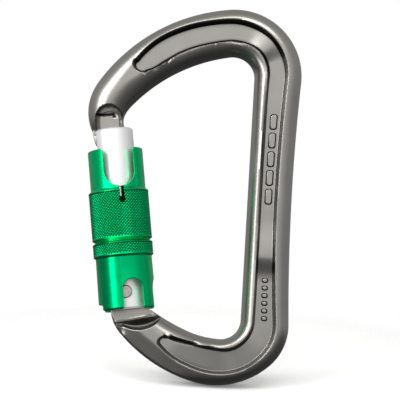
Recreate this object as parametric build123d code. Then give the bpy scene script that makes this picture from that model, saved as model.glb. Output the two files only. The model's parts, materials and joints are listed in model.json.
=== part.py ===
"""Locking carabiner: a forged D-shaped body, a sprung gate and a lift-and-twist locking barrel.

Millimetres. The body stands in the XZ plane: +Z up along its load axis, +X towards the spine
and Y through its thickness. The origin is where a rope bears on the inside of the wide basket.
The gate and everything on it is drawn about the gate axis, with the rivet at its origin: local
Z runs up the gate, local X points into the opening and Y stays the body's Y.
"""

import os
from math import cos, pi, radians, sin

from build123d import *

# Body
BODY_THICKNESS = 11.0
BODY_EDGE_RADIUS = 1.7
OUTER_FLANGE = 3.6
INNER_FLANGE = 4.0
WEB_THICKNESS = 5.4
POCKET_END_RADIUS = 1.4
POCKET_TOP_END = -30.4
POCKET_BOTTOM_END = -18.2

# Tangent arcs (radius, turn in degrees) from the nose, over the top, down the spine, to the hinge
OUTER_START = (-41.16, -24.62)
OUTER_HEADING = 115.6
OUTER_ARCS = [
    (15.12, -58.0),
    (53.13, -50.5),
    (20.08, -100.7),
    (627.45, 6.6),
    (15.79, -50.1),
    (24.39, -57.7),
    (45.40, -32.7),
    (11.50, -33.0),
]
INNER_START = (-31.29, -23.30)
INNER_HEADING = 121.0
INNER_ARCS_TOP = [(4.38, -53.8), (10.19, -17.4), (49.03, -39.6), (6.49, -100.6)]
SPINE_STRAIGHT = 72.14
INNER_ARCS_BOTTOM = [(5.83, -90.9), (28.56, -21.4), (68.29, -9.2)]

# Gate axis: the rivet's place and the gate's lean away from the spine
RIVET_X = -28.14
RIVET_Z = -72.18
GATE_LEAN = 7.9

# Gate
GATE_RADIUS = 5.75
GATE_BOTTOM = -4.99
GATE_TOP = 48.85
GATE_CHAMFER = 0.5
CLEVIS_HALF_GAP = 2.6
CLEVIS_TOP = 6.5
PLUNGER_BORE_RADIUS = 2.2
PLUNGER_BORE_TOP = 26.0

# Nose of the body and the slot for it in the gate
NOSE_TIP = 43.7
NOSE_TIP_CHAMFER = 0.8
HEAD_TOP = 47.35
HEAD_HALF_THICKNESS = 2.5
NECK_HALF_THICKNESS = 1.7
HEAD_LEFT = -6.2
HEAD_RIGHT = 3.2
SHOULDER_CLEAR = 49.4
NOSE_SLOT_BOTTOM = 42.7
NOSE_SLOT_RIGHT = 3.6
NOSE_SLOT_HALF_GAP = 2.7
LIP_BOTTOM = 47.65
LIP_HALF_GAP = 1.95
ARCH_RADIUS = 4.2
ARCH_CENTRE = (-0.8, 51.8)
NOSE_ROUND_RADIUS = 6.3

# Tang of the body at the hinge
TANG_HALF_THICKNESS = 2.5
TANG_LEFT = -4.9
TANG_RIGHT = 6.2
TANG_SHOULDER = -5.5
TANG_FACE_BOTTOM = -8.8
TANG_FACE_TOP = 5.2
TANG_HEEL_CORNER = -3.0
TANG_ROOT = -12.0
TANG_ROOT_LEFT = -2.0
TANG_HOLE_RADIUS = 1.65
HEEL_END_ANGLE = 165.0

# Rivet
RIVET_RADIUS = 1.6
RIVET_HEAD_RADIUS = 1.9
RIVET_HEAD_HEIGHT = 0.6
RIVET_HALF_LENGTH = 6.2
RIVET_HEAD_CHAMFER = 0.25

# Plunger and the cam on the tang that pushes it up as the gate opens
PLUNGER_RADIUS = 2.1
PLUNGER_TIP_CENTRE = 6.1
PLUNGER_TOP = 12.0
PLUNGER_LIFT_PER_RADIAN = 2.64
CAM_CLEARANCE = 0.05
CAM_END_ANGLE = 42.0
PLUNGER_STEM_RADIUS = 1.0
PLUNGER_STEM_TOP = 15.0
GATE_SPRING_RADIUS = 1.6
GATE_SPRING_WIRE = 0.25
GATE_SPRING_TURNS = 10

# Locking barrel
BARREL_BOTTOM = -5.13
BARREL_TOP = 42.53
SKIRT_RADIUS = 8.3
COLLAR_RADIUS = 8.15
KNURL_RADIUS = 8.93
RING_KNURL = (10.83, 14.6)
GRIP_KNURL = (15.8, 30.27)
GROOVE_RADIUS = 8.0
GROOVE_MIDDLE = 15.19
BORE_RADIUS = 6.9
LIP_RADIUS = 5.83
LIP_SPAN = (9.0, 13.0)
NOSE_WINDOW_ANGLE = 8.4
NOSE_WINDOW_WIDTH = 8.9
NOSE_WINDOW_BOTTOM = 31.02
SLIT_WIDTH = 1.0
SLIT_HOLE_RADIUS = 0.95
SLIT_HOLE_HEIGHT = 26.96
HINGE_ARCH_ANGLES = (16.7, 90.0, 196.7)
HINGE_ARCH_WIDTH = 6.1
HINGE_ARCH_TOP = 3.57
SHALLOW_CUT_ANGLE = -90.0
SHALLOW_CUT_TOP = -3.15
SHALLOW_CUT_WIDTH = 9.0
BARREL_LIFT = 3.0
BARREL_TWIST = 107.0

# Guide pin in the gate and its window inside the barrel
PIN_HEIGHT = 11.0
PIN_ANGLE = 150.0
PIN_RADIUS = 0.75
PIN_REACH = 7.3
PIN_ROOT = 3.6
WINDOW_RADIUS = 7.45
WINDOW_MARGIN = 0.12

# Rings on the gate, in grooves of this depth, and the barrel spring between them
RING_GROOVE_RADIUS = 5.25
RING_INNER_RADIUS = 5.3
RING_OUTER_RADIUS = 6.75
STOP_RING_SPAN = (8.0, 8.95)
WASHER_SPAN = (28.8, 29.6)
CLIP_SPAN = (29.6, 30.4)
CLIP_GAP = 3.0
BARREL_SPRING_RADIUS = 6.32
BARREL_SPRING_WIRE = 0.4
BARREL_SPRING_TURNS = 5

# Half width of the cuts that clear the gate's ends, and sizes past everything
GATE_SIDE_CLEAR = 12.0
FAR = 60.0
GATE_MIDDLE_Z = -44.0

GATE_FRAME = Pos(RIVET_X, 0, RIVET_Z) * Rot(0, -GATE_LEAN, 0)


def on_gate(shape):
    """A shape drawn about the gate axis, put in its place."""
    return GATE_FRAME * shape


def tangent_arcs(start, heading, arcs):
    """Arcs that follow one another smoothly. Returns the edges, the end and the last heading."""
    edges = []
    point = Vector(*start)
    for radius, turn in arcs:
        direction = Vector(cos(radians(heading)), sin(radians(heading)))
        arc = JernArc(point, direction, radius, turn)
        edges.append(arc)
        point = arc @ 1
        heading += turn
    return edges, point, heading


def beside(point, heading, distance):
    """The point that lies a distance to the left of another, seen along a heading."""
    side = radians(heading + 90)
    return (point[0] + distance * cos(side), point[1] + distance * sin(side))


def outer_edges(inset):
    """The outside of the body, moved inwards by an inset."""
    start = beside(OUTER_START, OUTER_HEADING, -inset)
    arcs = [(r - inset if turn < 0 else r + inset, turn) for r, turn in OUTER_ARCS]
    edges, end, _ = tangent_arcs(start, OUTER_HEADING, arcs)
    return edges, end


def inner_edges(inset):
    """The inside of the body, moved into the metal by an inset."""
    start = beside(INNER_START, INNER_HEADING, inset)
    top = [(r + inset, turn) for r, turn in INNER_ARCS_TOP]
    bottom = [(r + inset, turn) for r, turn in INNER_ARCS_BOTTOM]
    edges, corner, heading = tangent_arcs(start, INNER_HEADING, top)
    down = (
        corner.X + SPINE_STRAIGHT * cos(radians(heading)),
        corner.Y + SPINE_STRAIGHT * sin(radians(heading)),
    )
    edges.append(Line(corner, down))
    more, end, _ = tangent_arcs(down, heading, bottom)
    return edges + more, end


def strip(outer_inset, inner_inset):
    """The face between the outside and the inside, cut straight at the nose and at the hinge."""
    outside, outside_end = outer_edges(outer_inset)
    inside, inside_end = inner_edges(inner_inset)
    at_hinge = Line(outside_end, inside_end)
    at_nose = Line(inside[0] @ 0, outside[0] @ 0)
    return make_face([*outside, *inside, at_hinge, at_nose])


def plate(face, half_thickness):
    """A face of the body's plane, thickened evenly both ways along Y."""
    return extrude(Plane.XZ * face, half_thickness, both=True)


def between(low, high, left, right, half_depth, inner=0.0):
    """A block about the gate axis: up, across and through, open in the middle if inner is set."""
    block = Pos((left + right) / 2, 0, (low + high) / 2) * Box(
        right - left, 2 * half_depth, high - low
    )
    if inner:
        block -= Pos((left + right) / 2, 0, (low + high) / 2) * Box(
            right - left + 1, 2 * inner, high - low + 1
        )
    return block


def tube(outer, inner, low, high):
    """A ring about the gate axis."""
    ring = Cylinder(outer, high - low) - Cylinder(inner, high - low + 1)
    return Pos(0, 0, (low + high) / 2) * ring


def rod(radius, low, high):
    """A cylinder along the gate axis."""
    return Pos(0, 0, (low + high) / 2) * Cylinder(radius, high - low)


def left_of(end, middle):
    """Everything left of an X in the body's plane, above or below the middle of the gate."""
    return Pos(end - FAR / 2, middle) * Rectangle(FAR, FAR)


def pocket(side):
    """The lightening groove along one face, which leaves an I-shaped section."""
    face = strip(OUTER_FLANGE, INNER_FLANGE)
    face -= left_of(POCKET_TOP_END, GATE_MIDDLE_Z + FAR / 2)
    face -= left_of(POCKET_BOTTOM_END, GATE_MIDDLE_Z - FAR / 2)
    ends = (POCKET_TOP_END, POCKET_BOTTOM_END)
    corners = face.vertices().filter_by(lambda v: min(abs(v.X - end) for end in ends) < 0.01)
    face = fillet(corners, POCKET_END_RADIUS)
    depth = (BODY_THICKNESS - WEB_THICKNESS) / 2
    groove = extrude(Plane.XZ * face, depth / 2, both=True)
    return Pos(0, side * (WEB_THICKNESS + depth) / 2, 0) * groove


def arch_recess():
    """The rounded recess above the gate on both faces, which leaves the neck of the nose."""
    disc = Pos(ARCH_CENTRE[0], 0, ARCH_CENTRE[1]) * Rot(90, 0, 0) * Cylinder(ARCH_RADIUS, FAR)
    disc += between(
        SHOULDER_CLEAR - 1, ARCH_CENTRE[1], ARCH_CENTRE[0] - ARCH_RADIUS,
        ARCH_CENTRE[0] + ARCH_RADIUS, FAR / 2,
    )
    return disc - Box(FAR, 2 * NECK_HALF_THICKNESS, 4 * FAR)


def nose():
    """The neck and the thicker head that the gate's lips close over."""
    neck = between(HEAD_TOP - 0.5, ARCH_CENTRE[1] + 1, HEAD_LEFT, HEAD_RIGHT, NECK_HALF_THICKNESS)
    head = between(NOSE_TIP, HEAD_TOP, HEAD_LEFT, HEAD_RIGHT, HEAD_HALF_THICKNESS)
    head = chamfer(head.edges().filter_by(Axis.Y).group_by(Axis.Z)[0], NOSE_TIP_CHAMFER)
    return (neck + head) & rod(NOSE_ROUND_RADIUS, NOSE_TIP - 1, ARCH_CENTRE[1] + 2)


def cam_edge():
    """The cam's edge: parallel to a spiral whose radius grows as the gate opens."""
    gap = PLUNGER_RADIUS + CAM_CLEARANCE
    steps = 9
    points = []
    for i in range(steps):
        angle = radians(90 + (CAM_END_ANGLE - 90) * i / (steps - 1))
        pitch = PLUNGER_TIP_CENTRE + PLUNGER_LIFT_PER_RADIAN * (pi / 2 - angle)
        slope = -PLUNGER_LIFT_PER_RADIAN / pitch
        length = (1 + slope * slope) ** 0.5
        radial = pitch - gap / length
        along = gap * slope / length
        points.append((
            radial * cos(angle) - along * sin(angle),
            radial * sin(angle) + along * cos(angle),
        ))
    return points


def tang_face():
    """The tang's outline in the gate's plane: a plate with the plunger's cam on its top."""
    points = cam_edge()
    gap = PLUNGER_RADIUS + CAM_CLEARANCE
    heel = PLUNGER_TIP_CENTRE - gap
    heel_end = (heel * cos(radians(HEEL_END_ANGLE)), heel * sin(radians(HEEL_END_ANGLE)))
    heel_top = (0, heel)
    cam = Spline(*points)
    seat = RadiusArc(heel_top, points[0], gap)
    halfway = radians((90 + HEEL_END_ANGLE) / 2)
    round_heel = ThreePointArc(
        heel_top, (heel * cos(halfway), heel * sin(halfway)), heel_end
    )
    last = points[-1]
    outline = [
        Polyline(
            heel_end,
            (TANG_LEFT, TANG_HEEL_CORNER),
            (TANG_LEFT, TANG_SHOULDER - 0.15),
            (TANG_ROOT_LEFT, TANG_ROOT),
            (TANG_RIGHT, TANG_ROOT),
            (TANG_RIGHT, 0),
            last,
        )
    ]
    return make_face([cam, seat, round_heel, *outline])


def body():
    """The forged frame: strip, pockets, nose and tang."""
    frame = plate(strip(0, 0), BODY_THICKNESS / 2)
    frame = fillet(long_rims(frame), BODY_EDGE_RADIUS)
    for side in (-1, 1):
        frame -= pocket(side)
    # Thin the body around the gate's two ends
    across = (-GATE_SIDE_CLEAR, GATE_SIDE_CLEAR)
    frame -= on_gate(between(NOSE_TIP - FAR / 4, SHOULDER_CLEAR, *across, FAR / 2))
    frame -= on_gate(arch_recess())
    frame -= on_gate(
        between(TANG_FACE_BOTTOM, TANG_FACE_TOP, *across, FAR / 2, TANG_HALF_THICKNESS)
    )
    frame -= on_gate(between(TANG_SHOULDER, TANG_FACE_TOP, *across, FAR / 2))
    tang = on_gate(extrude(Plane.XZ * tang_face(), TANG_HALF_THICKNESS, both=True))
    frame = frame + on_gate(nose()) + tang
    frame -= on_gate(Rot(90, 0, 0) * Cylinder(TANG_HOLE_RADIUS, FAR))
    return frame


def long_rims(frame):
    """The edges of both faces that run along the body, without the cut ends."""
    on_faces = frame.edges().filter_by(lambda e: abs(e.center().Y) > BODY_THICKNESS / 2 - 0.1)
    return on_faces.filter_by(
        lambda e: e.geom_type == GeomType.CIRCLE or e.length > SPINE_STRAIGHT - 1
    )


def gate():
    """The gate: a rod with a clevis below, a bore for its spring and a keyed slot on top."""
    shape = rod(GATE_RADIUS, GATE_BOTTOM, GATE_TOP)
    shape = chamfer(shape.edges().filter_by(GeomType.CIRCLE), GATE_CHAMFER)
    past = GATE_RADIUS + 1
    shape -= between(GATE_BOTTOM - 1, CLEVIS_TOP, -past, past, CLEVIS_HALF_GAP)
    shape -= rod(PLUNGER_BORE_RADIUS, CLEVIS_TOP - 1, PLUNGER_BORE_TOP)
    shape -= between(NOSE_SLOT_BOTTOM, LIP_BOTTOM, -past, NOSE_SLOT_RIGHT, NOSE_SLOT_HALF_GAP)
    shape -= between(LIP_BOTTOM - 1, GATE_TOP + 1, -past, NOSE_SLOT_RIGHT, LIP_HALF_GAP)
    shape -= hinge_rivet()
    shape -= radial_rod(PIN_RADIUS, PIN_ROOT, PIN_REACH + 2, PIN_HEIGHT, PIN_ANGLE)
    shape -= tube(past, RING_GROOVE_RADIUS, *STOP_RING_SPAN)
    shape -= tube(past, RING_GROOVE_RADIUS, WASHER_SPAN[0], CLIP_SPAN[1])
    return shape


def radial_rod(radius, start, end, height, angle):
    """A pin that points out of the gate axis. Angle 0 is the front and 90 the inside."""
    pin = Pos(0, -(start + end) / 2, 0) * Rot(90, 0, 0) * Cylinder(radius, end - start)
    return Pos(0, 0, height) * Rot(0, 0, angle) * pin


def hinge_rivet():
    """The rivet through the gate's ears and the tang, with a low head at each end."""
    shaft = Rot(90, 0, 0) * Cylinder(RIVET_RADIUS, 2 * (RIVET_HALF_LENGTH - RIVET_HEAD_HEIGHT))
    for side in (-1, 1):
        middle = side * (RIVET_HALF_LENGTH - RIVET_HEAD_HEIGHT / 2)
        head = Rot(90, 0, 0) * Cylinder(RIVET_HEAD_RADIUS, RIVET_HEAD_HEIGHT)
        outer_rim = head.edges().filter_by(GeomType.CIRCLE).sort_by(Axis.Y)[-1 if side > 0 else 0]
        shaft += Pos(0, middle, 0) * chamfer(outer_rim, RIVET_HEAD_CHAMFER)
    return shaft


def gate_plunger():
    """The plunger that the cam pushes up against the gate spring."""
    shape = rod(PLUNGER_RADIUS, PLUNGER_TIP_CENTRE, PLUNGER_TOP)
    shape += Pos(0, 0, PLUNGER_TIP_CENTRE) * Sphere(PLUNGER_RADIUS)
    return shape + rod(PLUNGER_STEM_RADIUS, PLUNGER_TOP - 1, PLUNGER_STEM_TOP)


def coil(mean_radius, wire, low, high, turns):
    """A compression spring about the gate axis, between two heights."""
    rise = high - low - 2 * wire
    path = Helix(rise / turns, rise, mean_radius)
    section = Plane(origin=path @ 0, z_dir=path % 0) * Circle(wire)
    return Pos(0, 0, low + wire) * sweep(section, path=path)


def barrel_profile():
    """Half of the barrel's section in the gate's plane, turned about the gate axis."""
    groove_half = (KNURL_RADIUS - GROOVE_RADIUS) * 0.65
    points = [
        (BORE_RADIUS, BARREL_BOTTOM),
        (SKIRT_RADIUS - 0.3, BARREL_BOTTOM),
        (SKIRT_RADIUS, BARREL_BOTTOM + 0.3),
        (SKIRT_RADIUS, RING_KNURL[0] - 0.35),
        (KNURL_RADIUS, RING_KNURL[0] + 0.3),
        (KNURL_RADIUS, GROOVE_MIDDLE - groove_half),
        (GROOVE_RADIUS, GROOVE_MIDDLE),
        (KNURL_RADIUS, GROOVE_MIDDLE + groove_half),
        (KNURL_RADIUS, GRIP_KNURL[1] - 0.4),
        (COLLAR_RADIUS, GRIP_KNURL[1]),
        (COLLAR_RADIUS, BARREL_TOP - 0.3),
        (COLLAR_RADIUS - 0.3, BARREL_TOP),
        (BORE_RADIUS, BARREL_TOP),
        (BORE_RADIUS, LIP_SPAN[1]),
        (LIP_RADIUS, LIP_SPAN[1]),
        (LIP_RADIUS, LIP_SPAN[0]),
        (BORE_RADIUS, LIP_SPAN[0]),
    ]
    return make_face(Polyline(*points, close=True))


def round_ended_slot(width, end, open_end, angle):
    """A cutter through one side of the barrel, round at one end and open at the other."""
    half = width / 2
    middle = end - half if open_end < end else end + half
    low = min(middle, open_end)
    high = max(middle, open_end)
    cutter = Pos(0, -10, middle) * Rot(90, 0, 0) * Cylinder(half, 20)
    cutter += Pos(0, -10, (low + high) / 2) * Box(width, 20, high - low)
    return Rot(0, 0, angle) * cutter


def guide_window():
    """The space inside the barrel's lip in which the guide pin runs."""
    margin = PIN_RADIUS + WINDOW_MARGIN
    low = PIN_HEIGHT - BARREL_LIFT - margin
    high = PIN_HEIGHT + margin
    spread = margin / PIN_REACH * 180 / pi
    inside = LIP_RADIUS - 0.5
    section = Pos((inside + WINDOW_RADIUS) / 2, (low + high) / 2) * Rectangle(
        WINDOW_RADIUS - inside, high - low
    )
    window = revolve(Plane.XZ * section, Axis.Z, BARREL_TWIST + 2 * spread)
    return Rot(0, 0, PIN_ANGLE - 90 - spread) * window


def locking_barrel():
    """The barrel: knurled outside, cut for the nose above and for the tang below."""
    shape = revolve(Plane.XZ * barrel_profile(), Axis.Z)
    shape -= round_ended_slot(
        NOSE_WINDOW_WIDTH, NOSE_WINDOW_BOTTOM, BARREL_TOP + 2, NOSE_WINDOW_ANGLE
    )
    shape -= Rot(0, 0, NOSE_WINDOW_ANGLE) * (
        Pos(0, -10, (SLIT_HOLE_HEIGHT + NOSE_WINDOW_BOTTOM + 1) / 2)
        * Box(SLIT_WIDTH, 20, NOSE_WINDOW_BOTTOM + 1 - SLIT_HOLE_HEIGHT)
    )
    shape -= radial_rod(SLIT_HOLE_RADIUS, 2, 20, SLIT_HOLE_HEIGHT, NOSE_WINDOW_ANGLE)
    for angle in HINGE_ARCH_ANGLES:
        shape -= round_ended_slot(HINGE_ARCH_WIDTH, HINGE_ARCH_TOP, BARREL_BOTTOM - 2, angle)
    shape -= Rot(0, 0, SHALLOW_CUT_ANGLE) * (
        Pos(0, -10, SHALLOW_CUT_TOP - 2) * Box(SHALLOW_CUT_WIDTH, 20, 4)
    )
    return shape - guide_window()


def stop_ring():
    """The closed ring that the barrel's lip rests on."""
    return tube(RING_OUTER_RADIUS, RING_INNER_RADIUS, *STOP_RING_SPAN)


def spring_washer():
    """The thrust washer over the barrel spring."""
    return tube(RING_OUTER_RADIUS, RING_INNER_RADIUS, *WASHER_SPAN)


def retaining_clip():
    """The split ring that holds the washer down."""
    ring = tube(RING_OUTER_RADIUS - 0.1, RING_INNER_RADIUS, *CLIP_SPAN)
    gap = Pos(0, RING_OUTER_RADIUS, CLIP_SPAN[0]) * Box(CLIP_GAP, 2 * RING_OUTER_RADIUS - 4, 4)
    return ring - gap


def build():
    """Every piece under its own name, in its place."""
    return {
        "body": body(),
        "gate": on_gate(gate()),
        "hinge_rivet": on_gate(hinge_rivet()),
        "gate_plunger": on_gate(gate_plunger()),
        "gate_spring": on_gate(coil(
            GATE_SPRING_RADIUS, GATE_SPRING_WIRE, PLUNGER_TOP, PLUNGER_BORE_TOP,
            GATE_SPRING_TURNS,
        )),
        "locking_barrel": on_gate(locking_barrel()),
        "barrel_spring": on_gate(coil(
            BARREL_SPRING_RADIUS, BARREL_SPRING_WIRE, LIP_SPAN[1], WASHER_SPAN[0],
            BARREL_SPRING_TURNS,
        )),
        "guide_pin": on_gate(
            radial_rod(PIN_RADIUS, PIN_ROOT, PIN_REACH, PIN_HEIGHT, PIN_ANGLE)
        ),
        "stop_ring": on_gate(stop_ring()),
        "spring_washer": on_gate(spring_washer()),
        "retaining_clip": on_gate(retaining_clip()),
    }


os.makedirs("parts", exist_ok=True)
for name, shape in build().items():
    solids = shape.solids()
    export_step(solids[0] if len(solids) == 1 else Compound(children=solids), f"parts/{name}.step")
    print(name, len(solids), "solid", round(shape.volume, 1), "mm3", shape.bounding_box())
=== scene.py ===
"""Locking carabiner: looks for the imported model, in metres. Shapes are drawn in millimetres
and scaled once. The gate and barrel are drawn about the gate axis, up the axis from the rivet."""

import json
import math

import bmesh
import bpy
import numpy as np
from mathutils import Matrix, Vector


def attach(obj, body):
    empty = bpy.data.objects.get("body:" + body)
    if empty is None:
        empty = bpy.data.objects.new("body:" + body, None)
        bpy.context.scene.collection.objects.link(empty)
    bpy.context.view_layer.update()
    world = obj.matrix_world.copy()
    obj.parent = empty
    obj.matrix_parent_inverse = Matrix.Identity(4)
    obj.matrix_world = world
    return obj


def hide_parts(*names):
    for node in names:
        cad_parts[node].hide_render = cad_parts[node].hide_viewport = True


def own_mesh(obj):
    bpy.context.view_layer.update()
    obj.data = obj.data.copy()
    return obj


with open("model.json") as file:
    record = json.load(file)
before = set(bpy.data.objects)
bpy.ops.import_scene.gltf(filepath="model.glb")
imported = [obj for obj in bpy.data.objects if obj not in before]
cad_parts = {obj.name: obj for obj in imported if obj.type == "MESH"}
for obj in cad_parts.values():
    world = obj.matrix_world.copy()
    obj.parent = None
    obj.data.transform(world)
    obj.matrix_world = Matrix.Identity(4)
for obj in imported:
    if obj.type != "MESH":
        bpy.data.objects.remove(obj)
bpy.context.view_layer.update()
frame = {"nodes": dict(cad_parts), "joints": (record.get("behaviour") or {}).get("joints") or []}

MM = 0.001
JOINTS = {j["name"]: j for j in frame["joints"]}
RIVET = np.array(JOINTS["gate_swing"]["pos_m"]) / MM
AXIS = np.array(JOINTS["barrel_lift"]["axis"])
ACROSS = np.array([AXIS[2], 0.0, -AXIS[0]])
BACK = np.array([0.0, 1.0, 0.0])

# ---------------------------------------------------------------- body outline
OUTER_START = (-41.16, -24.62)
OUTER_HEADING = 115.6
OUTER_ARCS = [
    (15.12, -58.0),
    (53.13, -50.5),
    (20.08, -100.7),
    (627.45, 6.6),
    (15.79, -50.1),
    (24.39, -57.7),
    (45.40, -32.7),
    (11.50, -33.0),
]
WALK_STEP = 0.05
THROAT_ACROSS = 3.6
THROAT_UP = 48.9
INNER_HEADING = 121.0
INNER_ARCS = [
    (4.38, -53.8),
    (10.19, -17.4),
    (49.03, -39.6),
    (6.49, -100.6),
    (0.0, 72.14),
    (5.83, -90.9),
    (28.56, -21.4),
    (68.29, -9.6),
]


def to_gate(x, z):
    """Points of the body's plane as distances across and up the gate axis."""
    dx = x - RIVET[0]
    dz = z - RIVET[2]
    return dx * ACROSS[0] + dz * ACROSS[2], dx * AXIS[0] + dz * AXIS[2]


def from_gate(across, up):
    """The way back from to_gate."""
    x = RIVET[0] + across * ACROSS[0] + up * AXIS[0]
    z = RIVET[2] + across * ACROSS[2] + up * AXIS[2]
    return x, z


def walk(start, heading, arcs):
    """Points along tangent arcs, and the distance walked at each. A radius of 0 is a line."""
    x, z = start
    xs, zs, walked = [x], [z], [0.0]
    for radius, turn in arcs:
        length = turn if radius == 0 else abs(math.radians(turn)) * radius
        count = max(2, int(length / WALK_STEP))
        bend = 0.0 if radius == 0 else math.radians(turn) / count
        for _ in range(count):
            middle = math.radians(heading) + bend / 2
            chord = length / count
            if bend:
                chord = 2 * radius * math.sin(abs(bend) / 2)
            x += chord * math.cos(middle)
            z += chord * math.sin(middle)
            heading += math.degrees(bend)
            xs.append(x)
            zs.append(z)
            walked.append(walked[-1] + length / count)
    return np.array(xs), np.array(zs), np.array(walked)


def knots(arcs):
    """The distance walked at the end of each arc."""
    lengths = [t if r == 0 else abs(math.radians(t)) * r for r, t in arcs]
    return np.concatenate([[0.0], np.cumsum(lengths)])


def smooth(x):
    """0 to 1 with no slope at either end."""
    x = np.clip(x, 0, 1)
    return x * x * (3 - 2 * x)


# ---------------------------------------------------------------- mesh helpers
MOST_CORNERS = 6


def new_object(name, points, faces, shade_angle=35):
    """A mesh object from points in millimetres."""
    mesh = bpy.data.meshes.new(name)
    mesh.from_pydata((np.asarray(points) * MM).tolist(), [], faces)
    mesh.validate()
    obj = bpy.data.objects.new(name, mesh)
    bpy.context.collection.objects.link(obj)
    soften(obj, shade_angle)
    return obj


def soften(obj, angle=35):
    """Smooth shading with the sharp edges kept. Faces with many corners are flat ends."""
    mesh = obj.data
    rounded_faces = [len(face.vertices) <= MOST_CORNERS for face in mesh.polygons]
    mesh.polygons.foreach_set("use_smooth", rounded_faces)
    work = bmesh.new()
    work.from_mesh(mesh)
    bmesh.ops.recalc_face_normals(work, faces=work.faces)
    limit = math.radians(angle)
    for edge in work.edges:
        if len(edge.link_faces) == 2:
            edge.smooth = edge.calc_face_angle(0) < limit
    work.to_mesh(mesh)
    work.free()


def ring_faces(low, high, count):
    """Quads between two rings of points that stand over one another."""
    return [
        (low + i, low + (i + 1) % count, high + (i + 1) % count, high + i) for i in range(count)
    ]


def closed_tube(rings, count):
    """Quads between points laid out ring by ring, with a flat face over either end."""
    faces = []
    for k in range(rings - 1):
        faces += ring_faces(k * count, (k + 1) * count, count)
    faces.append(tuple(range(count))[::-1])
    faces.append(tuple((rings - 1) * count + i for i in range(count)))
    return faces


def vertices_of(mesh):
    """A mesh's points as an array, in metres."""
    points = np.zeros(3 * len(mesh.vertices))
    mesh.vertices.foreach_get("co", points)
    return points.reshape(-1, 3)


def mark_painted_shade(obj, values):
    """Stores the painted shade at each point, for the finish to read."""
    shade = obj.data.attributes.new("painted_shade", "FLOAT", "POINT")
    shade.data.foreach_set("value", values)


def boolean(obj, other, operation):
    """Applies a boolean and deletes the other object."""
    modifier = obj.modifiers.new("cut", "BOOLEAN")
    modifier.operation = operation
    modifier.solver = "EXACT"
    modifier.object = other
    apply_modifiers(obj)
    bpy.data.objects.remove(other, do_unlink=True)


def apply_modifiers(obj):
    """Replaces the object's mesh by what its modifiers make of it."""
    depsgraph = bpy.context.evaluated_depsgraph_get()
    depsgraph.update()
    made = bpy.data.meshes.new_from_object(obj.evaluated_get(depsgraph))
    obj.modifiers.clear()
    obj.data = made


def place_on_gate(points):
    """Points given as (across, back, up the gate axis), in the row frame."""
    p = np.asarray(points, float)
    return RIVET + p[:, :1] * ACROSS + p[:, 1:2] * BACK + p[:, 2:] * AXIS


def prism(name, outline, half_depth, bevel):
    """A flat plate from an outline in the gate's plane, with rounded edges."""
    n = len(outline)
    points = [(u, y, w) for y in (-half_depth, half_depth) for u, w in outline]
    sides = [(i, (i + 1) % n, n + (i + 1) % n, n + i) for i in range(n)]
    faces = [tuple(range(n))[::-1], tuple(range(n, 2 * n)), *sides]
    obj = new_object(name, place_on_gate(points), faces)
    modifier = obj.modifiers.new("bevel", "BEVEL")
    modifier.width = bevel * MM
    modifier.segments = 3
    modifier.limit_method = "ANGLE"
    modifier.angle_limit = math.radians(40)
    apply_modifiers(obj)
    soften(obj)
    return obj


# ---------------------------------------------------------------- body
# Half thicknesses, depths and widths, and places along the outer edge from the nose
HALF = 5.5
GROOVE_DEPTH = 2.6
WALL_IN = 0.85
WALL_OUT = 1.15
TANG_HALF = 2.5
NECK_HALF = 1.7
TOP_TIP = 25.4
TOP_TIP_RADIUS = 2.8
LOW_TIP = 223.9
LOW_TIP_RADIUS = 1.9
NOSE_END = 30
MID_BODY = 120
HINGE_START = 215
FLOOR_LEAN = 0.072
RECESS_RADIUS = 4.2
RECESS_CENTRE = (-0.8, 51.8)
RECESS_DEPTH = 4.1
PAD_TOP = 53.0


def along(s, table):
    """A value that changes smoothly between (place, value) pairs."""
    places, values = (np.array(v, float) for v in zip(*table))
    slopes = np.gradient(values, places)
    s = np.clip(np.asarray(s, float), places[0], places[-1])
    i = np.clip(np.searchsorted(places, s) - 1, 0, len(places) - 2)
    gap = places[i + 1] - places[i]
    t = (s - places[i]) / gap
    rise = values[i] + (values[i + 1] - values[i]) * smooth(t)
    return rise + gap * t * (1 - t) * (slopes[i] * (1 - t) - slopes[i + 1] * t)


def bump(s, middle, before, after):
    """A hump that is 1 in the middle and 0 at a distance before and after it."""
    s = np.asarray(s, float)
    reach = np.where(s < middle, before, after)
    return smooth(1 - np.abs(s - middle) / reach)


def soft_min(a, b, radius):
    """The smaller of two values, with the corner between them rounded."""
    gap = np.clip(radius - np.abs(a - b), 0, None) / radius
    return np.minimum(a, b) - gap * gap * radius / 4


def stations(length, dense):
    """Places along the outer edge, closer together inside the dense stretches."""
    places = [0.0]
    while places[-1] < length:
        s = places[-1]
        step = 0.6
        for low, high, fine in dense:
            if low <= s <= high:
                step = min(step, fine)
        places.append(s + step)
    places[-1] = length
    return np.array(places)


def fullness(distance, radius):
    """A quarter circle's rise: 0 at the edge of the body and 1 past the radius."""
    t = 1 - np.clip(distance / radius, 0, 1)
    return np.sqrt(np.clip(1 - t * t, 0, 1))


def recess_edges(u, w):
    """How far a point is inside the recess over the gate, and inside the pad at its foot."""
    inside = RECESS_RADIUS - np.hypot(u - RECESS_CENTRE[0], np.maximum(w - RECESS_CENTRE[1], 0))
    right = 0.2 + (PAD_TOP - w) * 0.33
    return inside, np.minimum(np.minimum(PAD_TOP - w, u + 4.7), right - u)


def recess_height(u, w):
    """The height of the face in the recess over the gate, or more than HALF outside it."""
    inside, edge = recess_edges(u, w)
    t = np.clip(inside / 2.3, 0, 1)
    bowl = HALF - RECESS_DEPTH * np.sqrt(np.clip(1 - (1 - t) ** 2, 0, 1))
    pad = NECK_HALF * smooth(edge / 0.5 + 0.5)
    inner = np.maximum(bowl, pad)
    return np.where(inside > 0, inner, HALF + 1)


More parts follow.
